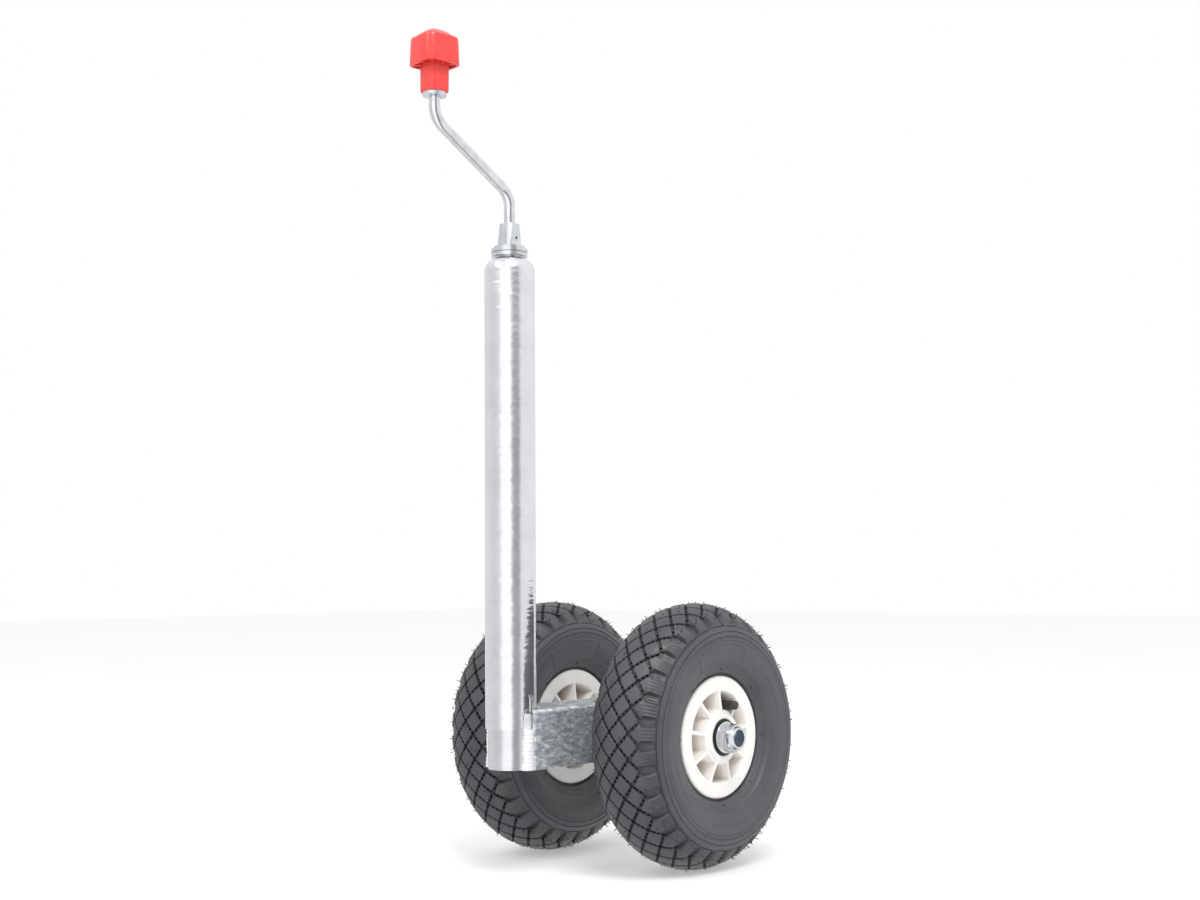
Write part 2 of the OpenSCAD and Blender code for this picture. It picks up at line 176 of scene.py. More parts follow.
def bevelled_copy(name, nodes, material, slot, body, width=0.5, segments=2, angle=32):
    """Copies CAD nodes' meshes into one piece, cleans them and rounds their edges."""
    bm = bmesh.new()
    for node in nodes:
        bm.from_mesh(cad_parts[node].data)
    bmesh.ops.remove_doubles(bm, verts=bm.verts, dist=2e-6)
    bmesh.ops.dissolve_limit(bm, angle_limit=radians(1.2), verts=bm.verts, edges=bm.edges)
    sharp = [e for e in bm.edges if len(e.link_faces) == 2
             and e.calc_face_angle(0) > radians(angle)]
    bmesh.ops.bevel(bm, geom=sharp, offset=width * MM, segments=segments, profile=0.5,
                    affect="EDGES", clamp_overlap=True)
    mesh = bpy.data.meshes.new(name)
    bm.to_mesh(mesh)
    bm.free()
    return as_piece(name, mesh, body, material, slot, nodes)


# ---------------------------------------------------------------- materials
def fill_ramp(ramp, stops):
    """Gives a colour ramp these (position, colour) stops, which are in order."""
    ramp.elements[-1].position = stops[-1][0]
    ramp.elements[-1].color = (*stops[-1][1], 1)
    ramp.elements[0].position = stops[0][0]
    ramp.elements[0].color = (*stops[0][1], 1)
    for at, colour in stops[1:-1]:
        ramp.elements.new(at).color = (*colour, 1)


class Nodes:
    """Short calls for building one material."""

    def __init__(self, name):
        self.m = bpy.data.materials.new(name)
        self.m.use_nodes = True
        self.t = self.m.node_tree
        self.shader = self.t.nodes["Principled BSDF"]
        self.coord = self.t.nodes.new("ShaderNodeTexCoord")

    def new(self, kind, **values):
        node = self.t.nodes.new(kind)
        for key, value in values.items():
            if hasattr(node, key) and key not in node.inputs:
                setattr(node, key, value)
            else:
                node.inputs[key].default_value = value
        return node

    def link(self, a, b):
        self.t.links.new(a, b)

    def scaled(self, scale):
        node = self.new("ShaderNodeMapping")
        node.inputs["Scale"].default_value = scale
        self.link(self.coord.outputs["Object"], node.inputs["Vector"])
        return node.outputs["Vector"]

    def noise(self, scale, detail=3.0, rough=0.55, stretch=(1, 1, 1)):
        node = self.new("ShaderNodeTexNoise")
        node.inputs["Scale"].default_value = scale
        node.inputs["Detail"].default_value = detail
        node.inputs["Roughness"].default_value = rough
        self.link(self.scaled(stretch), node.inputs["Vector"])
        return node.outputs["Fac"]

    def cells(self, scale, stretch=(1, 1, 1), random_=1.0):
        node = self.new("ShaderNodeTexVoronoi")
        node.inputs["Scale"].default_value = scale
        node.inputs["Randomness"].default_value = random_
        self.link(self.scaled(stretch), node.inputs["Vector"])
        return node

    def maths(self, operation, value, *others):
        """One maths node: value goes in first, the other inputs are numbers or sockets."""
        node = self.new("ShaderNodeMath", operation=operation)
        self.link(value, node.inputs[0])
        for socket, other in zip(node.inputs[1:], others):
            if isinstance(other, (int, float)):
                socket.default_value = other
            else:
                self.link(other, socket)
        return node.outputs[0]

    def place(self):
        """The point's own X, Y and Z sockets, in metres."""
        split = self.new("ShaderNodeSeparateXYZ")
        self.link(self.coord.outputs["Object"], split.inputs[0])
        return split.outputs

    def from_axle(self):
        """Distance from the axle's line, in metres."""
        at = self.place()
        flat = self.new("ShaderNodeCombineXYZ")
        self.link(at["X"], flat.inputs["X"])
        self.link(at["Z"], flat.inputs["Z"])
        node = self.new("ShaderNodeVectorMath", operation="DISTANCE")
        self.link(flat.outputs[0], node.inputs[0])
        node.inputs[1].default_value = (AXLE[0] * MM, 0, AXLE[2] * MM)
        return node.outputs["Value"]

    def spokes(self, count):
        """A wave that goes count times round the axle."""
        at = self.place()
        up = self.maths("SUBTRACT", at["Z"], AXLE[2] * MM)
        back = self.maths("SUBTRACT", at["X"], AXLE[0] * MM)
        wave = self.maths("SINE", self.maths("MULTIPLY", self.maths("ARCTAN2", up, back), count))
        return self.maths("MULTIPLY_ADD", wave, 0.5, 0.5)

    def from_wheel_middle(self):
        """Distance from the nearer wheel's mid-plane, in metres."""
        side = self.maths("ABSOLUTE", self.place()["Y"])
        return self.maths("ABSOLUTE", self.maths("SUBTRACT", side, WHEEL_Y * MM))

    def ramp(self, value, stops):
        node = self.new("ShaderNodeValToRGB")
        fill_ramp(node.color_ramp, [(at, (c, c, c) if isinstance(c, (int, float)) else c)
                                    for at, c in stops])
        self.link(value, node.inputs["Fac"])
        return node.outputs["Color"]

    def mix(self, factor, a, b, kind="MIX"):
        node = self.new("ShaderNodeMix", data_type="RGBA", blend_type=kind)
        for key, value in ((0, factor), (6, a), (7, b)):
            if isinstance(value, (int, float)):
                node.inputs[key].default_value = value
            elif isinstance(value, tuple):
                node.inputs[key].default_value = (*value, 1)
            else:
                self.link(value, node.inputs[key])
        return node.outputs[2]

    def bump(self, height, strength, distance, under=None):
        node = self.new("ShaderNodeBump")
        node.inputs["Strength"].default_value = strength
        node.inputs["Distance"].default_value = distance
        self.link(height, node.inputs["Height"])
        if under is not None:
            self.link(under, node.inputs["Normal"])
        return node.outputs["Normal"]

    def out(self, colour=None, rough=None, normal=None, **fixed):
        for key, value in (("Base Color", colour), ("Roughness", rough), ("Normal", normal)):
            if value is None:
                continue
            if isinstance(value, tuple):
                self.shader.inputs[key].default_value = (*value, 1)
            elif isinstance(value, float):
                self.shader.inputs[key].default_value = value
            else:
                self.link(value, self.shader.inputs[key])
        for key, value in fixed.items():
            self.shader.inputs[key.replace("_", " ")].default_value = value
        return self.m


def galvanised(name, streak=1.0, tone=0.80):
    """Hot-dip zinc on a tube: pale, with short streaks round it and soft blotches."""
    k = Nodes(name)
    blotch = k.noise(30, 4, 0.6)
    streaks = k.noise(1, 2, 0.5, (70, 70, 250))
    fine = k.noise(1, 2, 0.5, (110, 110, 900))
    colour = k.ramp(blotch, [(0.30, (tone * 0.86, tone * 0.87, tone * 0.90)),
                             (0.72, (tone, tone * 1.005, tone * 1.02))])
    colour = k.mix(k.ramp(streaks, [(0.45, 0.0), (0.75, 0.14)]), colour,
                   (tone * 0.66, tone * 0.68, tone * 0.72))
    rough = k.ramp(blotch, [(0.30, 0.13), (0.70, 0.24)])
    normal = k.bump(streaks, 0.50 * streak, 0.0014)
    normal = k.bump(fine, 0.05 * streak, 0.0003, normal)
    return k.out(colour, rough, normal, Metallic=0.92)


def spangled(name):
    """Rolled plate under grey zinc: crystal flakes, mottling and faint vertical marks."""
    k = Nodes(name)
    flakes = k.cells(330)
    big = k.noise(1, 6, 0.72, (100, 100, 240))
    grain = k.noise(520, 3, 0.6)
    flake = k.ramp(flakes.outputs["Color"], [(0.0, (0.30, 0.32, 0.355)),
                                             (1.0, (0.62, 0.645, 0.68))])
    colour = k.mix(0.66, flake, k.ramp(big, [(0.36, (0.10, 0.12, 0.15)),
                                            (0.50, (0.42, 0.455, 0.50)),
                                            (0.64, (0.98, 1.0, 1.0))]))
    colour = k.mix(k.ramp(grain, [(0.50, 0.0), (0.72, 0.45)]), colour, (0.84, 0.86, 0.88))
    rough = k.ramp(big, [(0.30, 0.30), (0.72, 0.50)])
    normal = k.bump(grain, 0.22, 0.0008)
    normal = k.bump(big, 0.30, 0.0014, normal)
    return k.out(colour, rough, normal, Metallic=0.50)


def plated(name, colour=(0.74, 0.76, 0.79), rough=(0.16, 0.30), marks=0.10, metallic=1.0):
    """Bright zinc plate: smooth, a little cloudy, with fine tool marks."""
    k = Nodes(name)
    cloud = k.noise(130, 3, 0.55)
    fine = k.noise(900, 2, 0.5)
    dark = tuple(c * 0.80 for c in colour)
    tint = k.ramp(cloud, [(0.30, dark), (0.68, colour)])
    normal = k.bump(fine, marks, 0.0003)
    return k.out(tint, k.ramp(cloud, [(0.3, rough[1]), (0.7, rough[0])]), normal,
                 Metallic=metallic)


SIDEWALL_EDGE = (0.1015, 0.1075)     # radii between which sidewall turns into tread
SHOULDER_EDGE = (0.1050, 0.1065)     # radii where the lugs' fine lines start
SHOULDER_OFFSET = (0.0270, 0.0300)   # and distances from the wheel's middle
SIDEWALL_PAINTED_LIGHT = 1.42        # painted light: how much lighter the sidewalls are painted than the tread
RADIAL_LINES = 224      # fine moulded lines round each shoulder


def rubber(name, tone=0.046, rough=(0.36, 0.60)):
    """Moulded tyre rubber: charcoal with a dusty bloom and a fine grain, and painted light making
    the sidewalls lighter than the tread.
    """
    k = Nodes(name)
    bloom = k.noise(34, 5, 0.65)
    grain = k.noise(1100, 3, 0.6)
    scuff = k.noise(1, 3, 0.6, (150, 420, 150))
    colour = k.ramp(bloom, [(0.28, (tone * 0.70, tone * 0.70, tone * 0.81)),
                            (0.74, (tone * 1.28, tone * 1.27, tone * 1.47))])
    # painted light: inside these radii the sidewalls are painted lighter than the tread
    wall = k.ramp(k.from_axle(), [(SIDEWALL_EDGE[0], 1.0), (SIDEWALL_EDGE[1], 0.0)])
    colour = k.mix(wall, colour, k.mix(1.0, colour, (SIDEWALL_PAINTED_LIGHT,) * 3, "MULTIPLY"))
    colour = k.mix(k.ramp(scuff, [(0.60, 0.0), (0.86, 0.18)]), colour,
                   (tone * 2.1, tone * 2.1, tone * 2.2))
    normal = k.bump(grain, 0.22, 0.0006)
    normal = k.bump(bloom, 0.25, 0.0018, normal)
    shoulder = k.mix(1.0, k.ramp(k.from_axle(), list(zip(SHOULDER_EDGE, (0.0, 1.0)))),
                     k.ramp(k.from_wheel_middle(), list(zip(SHOULDER_OFFSET, (0.0, 1.0)))),
                     "MULTIPLY")
    lines = k.mix(1.0, k.spokes(RADIAL_LINES), shoulder, "MULTIPLY")
    normal = k.bump(lines, 0.55, 0.0006, normal)
    return k.out(colour, k.ramp(bloom, [(0.3, rough[0]), (0.72, rough[1])]), normal,
                 Specular_IOR_Level=0.7)


POCKET_DEPTH = (0.006, 0.028)        # from a rim's middle: full shade, and none
# the colour of the painted shade deep in the rim's pockets
POCKET_PAINTED_SHADE = (0.58, 0.505, 0.42)


def nylon(name):
    """Moulded white nylon with a warm cast and faint flow marks, and painted shade darkening the
    pockets towards the rim's middle.
    """
    k = Nodes(name)
    flow = k.noise(55, 3, 0.5)
    grain = k.noise(1100, 2, 0.5)
    colour = k.ramp(flow, [(0.30, (0.90, 0.865, 0.82)), (0.70, (0.96, 0.94, 0.91))])
    # painted shade: darker beige towards the rim's middle, where the pockets lie in shadow
    deep = k.ramp(k.from_wheel_middle(), list(zip(POCKET_DEPTH, (1.0, 0.0))))
    colour = k.mix(deep, colour, POCKET_PAINTED_SHADE)
    normal = k.bump(grain, 0.05, 0.0003)
    return k.out(colour, k.ramp(flow, [(0.3, 0.38), (0.7, 0.50)]), normal,
                 Subsurface_Weight=0.12, Subsurface_Scale=0.004)


def red_plastic(name):
    """Moulded red plastic, satin, with a fine grain and faint handling marks."""
    k = Nodes(name)
    flow = k.noise(70, 3, 0.5)
    grain = k.noise(1300, 2, 0.55)
    colour = k.ramp(flow, [(0.30, (0.74, 0.050, 0.042)), (0.72, (0.80, 0.066, 0.056))])
    normal = k.bump(grain, 0.03, 0.0002)
    return k.out(colour, k.ramp(flow, [(0.3, 0.24), (0.7, 0.34)]), normal,
                 Subsurface_Weight=0.03, Subsurface_Scale=0.002)


def plain(name, colour, rough, metallic=0.0, grain=900.0, depth=0.10):
    """A small part's finish: slight colour drift, grain and roughness change."""
    k = Nodes(name)
    cloud = k.noise(150, 3, 0.5)
    fine = k.noise(grain, 2, 0.5)
    tint = k.ramp(cloud, [(0.3, tuple(c * 0.8 for c in colour)), (0.7, colour)])
    return k.out(tint, k.ramp(cloud, [(0.3, rough * 0.8), (0.7, min(1.0, rough * 1.2))]),
                 k.bump(fine, depth, 0.0003), Metallic=metallic)


GALV = galvanised("galvanised_tube")
GALV_INNER = galvanised("galvanised_inner", 0.45, 0.74)
ROD = plated("galvanised_rod", (0.80, 0.81, 0.835), (0.09, 0.17), 0.03)
PLATE = spangled("zinc_plate")
BRIGHT = plated("bright_zinc")
WELD = plated("weld_zinc", (0.93, 0.935, 0.945), (0.36, 0.50), 0.5, 0.30)
SHAFT = plated("steel_shaft", (0.52, 0.54, 0.57), (0.22, 0.36))
# near-black blue-grey over the whole axle, so its end shows as a dark face
DARK_AXLE_FINISH = plated("axle_end", (0.055, 0.085, 0.115), (0.30, 0.45), 0.2, 0.7)
TYRE = rubber("tyre_rubber")
# darker rubber for the hairs and the vent stubs; on the stubs the darker tone is painted shade
HAIR_AND_STUB_SHADE = rubber("rubber_hair_and_stub_shade", 0.035)
TUBE = plain("tube_rubber", (0.03, 0.03, 0.03), 0.6)
NYLON = nylon("white_nylon")
RED = red_plastic("red_plastic")
BRASS = plain("brass", (0.72, 0.52, 0.24), 0.30, 1.0)
BLACK = plain("black_plastic", (0.045, 0.042, 0.038), 0.42)
SEAL = plain("seal_rubber", (0.022, 0.020, 0.018), 0.55)

NODE_LOOK = {
    "lower_race": BRIGHT, "thrust_balls": SHAFT, "ball_cage": SHAFT, "upper_race": BRIGHT,
    "top_washer": BRIGHT, "spindle": SHAFT, "thrust_collar": SHAFT, "end_stop": SHAFT,
    "roll_pin": SHAFT, "push_nut": BRIGHT, "snap_ring": SHAFT, "inner_tube": GALV_INNER,
    "spindle_nut": SHAFT, "axle": SHAFT, "crush_tube": GALV, "spacer_tubes": BRIGHT,
    "hub_tubes": GALV, "inner_races": SHAFT, "near_air_tube": TUBE, "far_air_tube": TUBE,
    "near_outer_races": SHAFT, "far_outer_races": SHAFT, "near_wheel_balls": SHAFT,
    "far_wheel_balls": SHAFT, "near_seals": SEAL, "far_seals": SEAL,
}
for node, look in NODE_LOOK.items():
    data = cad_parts[node].data
    data.materials.clear()
    data.materials.append(look)


# ---------------------------------------------------------------- tyre
PITCHES = 32            # diamonds round the tyre
ROW = 20.4              # a diamond's length across the tread
FULL_ROWS = 2           # rows of whole diamonds each side of the crown's own
GROOVE = 4.0
BAR_DEPTH = 0.35        # groove depth over a tie bar
MID_R = 88.5
SECTION_END = 141
STATIONS = [0, 0.055, 0.08, 0.11, 0.19, 0.205, 0.245, 0.26, 0.475, 0.49, 0.53, 0.545,
            0.74, 0.755, 0.795, 0.81, 0.89, 0.92, 0.945, 1]
LAST = len(STATIONS) - 1
BARS = (5, 6, 9, 10, 13, 14)
NOTCH = 0.215           # half the width of a shoulder notch, as a share of the pitch
TIP_SINK = 2.4          # how far a notch dips into the diamond above it
TIP_START = 8.0         # where the dip starts, before the tread's edge


def section_curve(top, half_width, steps=3001):
    a = np.radians(np.linspace(-SECTION_END, SECTION_END, steps))
    r = MID_R + (top - MID_R) * np.cos(a)
    y = half_width * np.sin(a)
    arc = np.concatenate([[0], np.cumsum(np.hypot(np.diff(r), np.diff(y)))])
    return r, y, arc - arc[-1] / 2


CURVE_R, CURVE_Y, CURVE_T = section_curve(TYRE_R, TYRE_W / 2)
NORMAL_R = np.gradient(CURVE_Y, CURVE_T)
NORMAL_Y = -np.gradient(CURVE_R, CURVE_T)


def on_section(t, depth):
    """Radius and offset of points at arc t from the crown, sunk by depth."""
    r = np.interp(t, CURVE_T, CURVE_R)
    y = np.interp(t, CURVE_T, CURVE_Y)
    nr, ny = np.interp(t, CURVE_T, NORMAL_R), np.interp(t, CURVE_T, NORMAL_Y)
    size = np.hypot(nr, ny)
    return r - depth * nr / size, y - depth * ny / size


def groove_at(i):
    """How far down a block's edge profile is at station i, from 0 on top to 1 in the groove."""
    i = min(i, LAST - i)
    return (1.0, 1.0, 0.14, 0.0)[i] if i < 4 else 0.0


def tread_depth(i, j):
    """Depth at station (i, j) of a diamond, with tie bars across the grooves."""
    gi, gj = groove_at(i), groove_at(j)
    deep = max(gi, gj)
    if gi == 1.0 and gj < 1.0 and j in BARS:
        return BAR_DEPTH
    if gj == 1.0 and gi < 1.0 and i in BARS[2:]:
        return 2 * BAR_DEPTH
    return GROOVE * deep


def tyre_mesh(side):
    pitch = 2 * pi / PITCHES
    edge_t = (FULL_ROWS + 1) * ROW / 2
    params, depths, faces = [], [], []

    def add(points, quads):
        base = len(params)
        for s, t, d in points:
            params.append((s, t))
            depths.append(d)
        faces.extend([tuple(base + i for i in q) for q in quads])

    n = LAST + 1
    full_quads = [(i * n + j, (i + 1) * n + j, (i + 1) * n + j + 1, i * n + j + 1)
                  for i in range(LAST) for j in range(LAST)]
    for row in range(-FULL_ROWS, FULL_ROWS + 1):
        for k in range(PITCHES):
            s0 = (k + 0.5 * (row % 2)) * pitch
            add([(s0 + (STATIONS[i] - STATIONS[j]) * pitch / 2,
                  row * ROW / 2 + (STATIONS[i] + STATIONS[j] - 1) * ROW / 2,
                  tread_depth(i, j)) for i in range(n) for j in range(n)], full_quads)
    lug_t = [0.0, 1.0, 3.0, 6.0, 9.0, 12.0, 14.0, 14.8]
    lug_deep = [1.0, 1.05, 1.08, 1.02, 0.90, 0.78, 0.55, 0.12]
    widen = [0.0, 0.9, 1.0, 1.0, 1.0, 1.0, 0.95, 0.9]

    def spread(u, share):
        # opens the narrow groove between lugs into a notch
        near, far = STATIONS[2], STATIONS[-3]
        wide = (u / near * NOTCH if u <= near else 1 - (1 - u) / near * NOTCH if u >= far
                else NOTCH + (u - near) / (far - near) * (1 - 2 * NOTCH))
        return u + (wide - u) * share
    for hand in (-1, 1):
        for k in range(PITCHES):
            s0 = (k + 0.5 * ((FULL_ROWS + 1) % 2)) * pitch
            index, points = {}, []
            for i in range(n):
                for j in range(n - i):
                    index[i, j] = len(points)
                    points.append((s0 + hand * (STATIONS[i] - STATIONS[j]) * pitch / 2,
                                   hand * (edge_t + (STATIONS[i] + STATIONS[j] - 1) * ROW / 2),
                                   tread_depth(i, j)))
            quads = []
            for i in range(LAST):
                for j in range(LAST - i):
                    if i + j + 2 <= LAST:
                        quads.append((index[i, j], index[i + 1, j], index[i + 1, j + 1],
                                      index[i, j + 1]))
                    else:
                        quads.append((index[i, j], index[i + 1, j], index[i, j + 1]))
            # the lug runs on down the shoulder from the diamond's widest line
            top = len(points)
            for t, deep, share in zip(lug_t, lug_deep, widen):
                for i in range(n):
                    u = spread(STATIONS[i], share)
                    points.append((s0 + hand * (2 * u - 1) * pitch / 2,
                                   hand * (edge_t + t), GROOVE * groove_at(i) * deep))
            for a in range(len(lug_t) - 1):
                for i in range(LAST):
                    p = top + a * n + i
                    quads.append((p, p + 1, p + n + 1, p + n))
            add(points, quads)
    params = np.array(params)
    depths = np.array(depths)
    # each notch dips into the tip of the diamond above it
    from_notch = np.abs((params[:, 0] / pitch + 0.5 * (FULL_ROWS % 2) + 0.5) % 1 - 0.5)
    run = np.clip((np.abs(params[:, 1]) - edge_t + TIP_START) / TIP_START, 0, 1)
    inside_tread = np.abs(params[:, 1]) <= edge_t + 0.01
    depths += np.where(inside_tread, TIP_SINK * run ** 1.5
                       * np.clip(1 - from_notch / 0.30, 0, 1), 0) * (depths < GROOVE * 0.9)

    # weld the blocks along the groove centres
    key = np.column_stack([np.round((params[:, 0] % (2 * pi)) * TYRE_R / 0.02) % round(
        2 * pi * TYRE_R / 0.02), np.round(params[:, 1] / 0.02)]).astype(np.int64)
    _, first, back = np.unique(key, axis=0, return_index=True, return_inverse=True)
    back = back.reshape(-1)
    params, depths = params[first], depths[first]
    faces = [tuple(int(back[i]) for i in f) for f in faces]
    r, y = on_section(params[:, 1], depths)
    verts = np.column_stack([r * np.cos(params[:, 0]), r * np.sin(params[:, 0]), y])

    # the columns at each shoulder's end carry on as sidewall, bead and inside
    end_t = edge_t + lug_t[-1]
    rims = []
    for hand in (-1, 1):
        at = np.where(np.abs(params[:, 1] - hand * end_t) < 0.05)[0]
        rims.append(at[np.argsort(params[at, 0] % (2 * pi))])
    columns = len(rims[0])
    angles = params[rims[1], 0] % (2 * pi)
    wall = [(105.5, -0.7), (105.0, -0.7), (104.5, 0.7), (103.8, 0.95), (100.6, 0.95),
            (100.2, 0.2), (99.7, 0.2), (99.3, 0.9), (96.3, 0.8), (95.6, -0.3), (94.6, -0.3),
            (94.2, 0.15), (92.0, 0.0), (91.6, -0.35), (91.2, 0.0), (88.5, 0), (86.0, 0),
            (83, 0), (80.0, 0), (77.0, 0), (74, 0), (71.5, 0), (70.9, 0.45), (70.3, 0.45),
            (69.7, 0.0), (66.6, 0.0), (66.2, -0.3), (65.8, 0.0), (63.4, 0.0), (62.8, 0.6),
            (61.4, 0.7), (60.6, 0.1), (59.9, -0.3), (59.3, -1.0)]
    half = CURVE_T > edge_t
    order = np.argsort(CURVE_R[half])
    wall_t = np.interp([w[0] for w in wall], CURVE_R[half][order], CURVE_T[half][order])
    wall_r, wall_y = on_section(wall_t, -np.array([w[1] for w in wall]))
    inner_r, inner_y, inner_t = section_curve(TYRE_R - 9, TYRE_W / 2 - 6)
    inside_t = np.linspace(inner_t[-1], inner_t[0], 17)
    path = list(zip(wall_r, wall_y)) + [(58.4, 26.5), (57.4, 26.7), (51.4, 26.7),
                                        (50.9, 26.4), (50.9, 16.5)]
    inside = list(zip(np.interp(inside_t, inner_t, inner_r),
                      np.interp(inside_t, inner_t, inner_y)))
    path += inside + [(r_, -y_) for r_, y_ in reversed(path)]
    base = len(verts)
    ring = np.column_stack([np.cos(angles), np.sin(angles)])
    extra = np.vstack([np.column_stack([ring * r_, np.full(columns, y_)]) for r_, y_ in path])
    verts = np.vstack([verts, extra])
    rows = [rims[1]] + [base + i * columns + np.arange(columns) for i in range(len(path))]
    other = rims[0]
    first_angle = params[other, 0] % (2 * pi)
    shift = int(np.argmin(np.abs(first_angle - angles[0])))
    rows.append(np.roll(other, -shift))
    for a, b in zip(rows, rows[1:]):
        for j in range(columns):
            j2 = (j + 1) % columns
            faces.append((int(a[j]), int(b[j]), int(b[j2]), int(a[j2])))
    verts = hub_place(verts, side)
    return verts, faces


def normals_out(mesh_obj):
    bm = bmesh.new()
    bm.from_mesh(mesh_obj.data)
    bmesh.ops.recalc_face_normals(bm, faces=bm.faces)
    bm.to_mesh(mesh_obj.data)
    bm.free()


def spike(base, direction, length, r):
    """A thin tapered rubber hair."""
    d = Vector(direction).normalized()
    a = d.orthogonal().normalized()
    b = d.cross(a)
    root = [Vector(base) + (a * cos(q) + b * sin(q)) * r for q in (0, pi / 2, pi, 3 * pi / 2)]
    tip = [Vector(base) + d * length + (a * cos(q) + b * sin(q)) * r * 0.45
           for q in (0, pi / 2, pi, 3 * pi / 2)]
    return loft([[tuple(p) for p in root], [tuple(p) for p in tip]])


def hairs(side, seed):
    rng = random.Random(seed)
    parts = []
    pitch = 2 * pi / PITCHES
    for hand in (-1, 1):
        for k in range(PITCHES):
            for t, chance, length in ((0.0, 0.5, 2.6), (8.0, 0.6, 2.8), (15.0, 0.8, 3.0),
                                      (24.0, 1.0, 3.4), (29.0, 1.0, 3.8), (34.0, 1.0, 4.6),
                                      (38.0, 0.9, 4.4), (43.5, 0.6, 3.2)):
                if rng.random() > chance:
                    continue
                a = (k + rng.uniform(-0.45, 0.45)) * pitch
                tt = hand * (t + rng.uniform(-3, 1.5))
                r, y = on_section(tt, 0.4)
                r2, y2 = on_section(tt, -1.0)
                out = Vector(((r2 - r) * cos(a), (r2 - r) * sin(a), y2 - y))
                lean = Vector((rng.uniform(-1, 1), rng.uniform(-1, 1), rng.uniform(-1, 1)))
                parts.append(spike((r * cos(a), r * sin(a), y), out + lean * 0.5,
                                   length * rng.uniform(0.55, 1.0), 0.55))
    # short stubs left by the mould's vents on the sidewalls, in the darker rubber that paints their
    # shade
    for hand in (-1, 1):
        for i in range(16):
            a = (i + rng.uniform(-0.12, 0.12)) * 2 * pi / 16
            at_r = 97.6 if i % 2 else 64.6
            half = CURVE_T > 0
            order = np.argsort(CURVE_R[half])
            tt = hand * float(np.interp(at_r, CURVE_R[half][order], CURVE_T[half][order]))
            r, y = on_section(tt, 0.3)
            r2, y2 = on_section(tt, -1.0)
            out = Vector(((r2 - r) * cos(a), (r2 - r) * sin(a), y2 - y))
            parts.append(spike((r * cos(a), r * sin(a), y), out, 2.0, 1.0))
    v, f = join(*parts)
    return hub_place(v, side), f


def wall_ridge(points, width, height, side_hand):
    """A raised line on a sidewall through (radius, angle) points."""
    half = CURVE_T > 20
    order = np.argsort(CURVE_R[half])
    rings = []
    for i, (r, a) in enumerate(points):
        r0, a0 = points[max(i - 1, 0)]
        r1, a1 = points[min(i + 1, len(points) - 1)]
        along = np.array([r1 * cos(a1) - r0 * cos(a0), r1 * sin(a1) - r0 * sin(a0)])
        along /= np.hypot(*along)
        cross = np.array([-along[1], along[0]])
        ring = []
        for u, h in ((-1, -0.4), (-0.75, 0.55), (0, 1.0), (0.75, 0.55), (1, -0.4)):
            p = np.array([r * cos(a), r * sin(a)]) + cross * u * width / 2
            q = float(np.hypot(*p))
            t = float(np.interp(q, CURVE_R[half][order], CURVE_T[half][order]))
            rr, yy = on_section(t, -h * height)
            p = p / q * rr
            ring.append((p[0], p[1], yy * side_hand))
        rings.append(ring)
    return loft(rings)


def panel_outline(a_from, a_to, r_low, r_high, corner=5.0, steps=16):
    """The rounded outline of a moulded panel on a sidewall, as (radius, angle) points."""
    mid = (r_low + r_high) / 2
    c_from, c_to = a_from + corner / mid, a_to - corner / mid
    low, high = r_low + corner, r_high - corner
    points = []
    for angle, radius, start in ((c_to, high, 0), (c_from, high, 90), (c_from, low, 180),
                                 (c_to, low, 270)):
        for k in range(6):
            q = radians(start + 18 * k)
            points.append((radius + corner * sin(q), angle + corner * cos(q) / radius))
        if start == 0:
            points += [(r_high, c_to + (c_from - c_to) * k / steps) for k in range(1, steps)]
        if start == 180:
            points += [(r_low, c_from + (c_to - c_from) * k / steps) for k in range(1, steps)]
    return points + points[:1]


def wall_marks(side):
    parts = []
    for hand in (-1, 1):
        parts.append(wall_ridge(panel_outline(radians(72), radians(122), 70.5, 88.5), 1.3, 0.6,
                                hand))
        for start in (250, 10, 190):
            arc = [(82.0, radians(start + k)) for k in range(0, 34, 2)]
            parts.append(wall_ridge(arc, 1.0, 0.4, hand))
        for k in range(48):
            a = k * 2 * pi / 48
            parts.append(wall_ridge([(94.3, a), (93.4, a), (92.5, a)], 0.7, 0.35, hand))
    v, f = join(*parts)
    return hub_place(v, side), f


for side, name in ((-1, "near"), (1, "far")):
    verts, faces = wall_marks(side)
    marks = piece(name + "_tyre_marks", verts, faces, name + "_wheel", TYRE, "tyre_rubber",
                  sharp=70)
    normals_out(marks)
    verts, faces = tyre_mesh(side)
    tyre = piece(name + "_tyre_tread", verts, faces, name + "_wheel", TYRE, "tyre_rubber",
                 [name + "_tyre"], sharp=30)
    normals_out(tyre)
    verts, faces = hairs(side, 5 + side)
    hair = piece(name + "_tyre_hairs", verts, faces, name + "_wheel", HAIR_AND_STUB_SHADE, "tyre_rubber")
    normals_out(hair)


# ---------------------------------------------------------------- rim
RIBS = 9
RIB_HALF = 1.7
FLANGE_FACE = 31.0
POCKET_FLOOR = 5.0


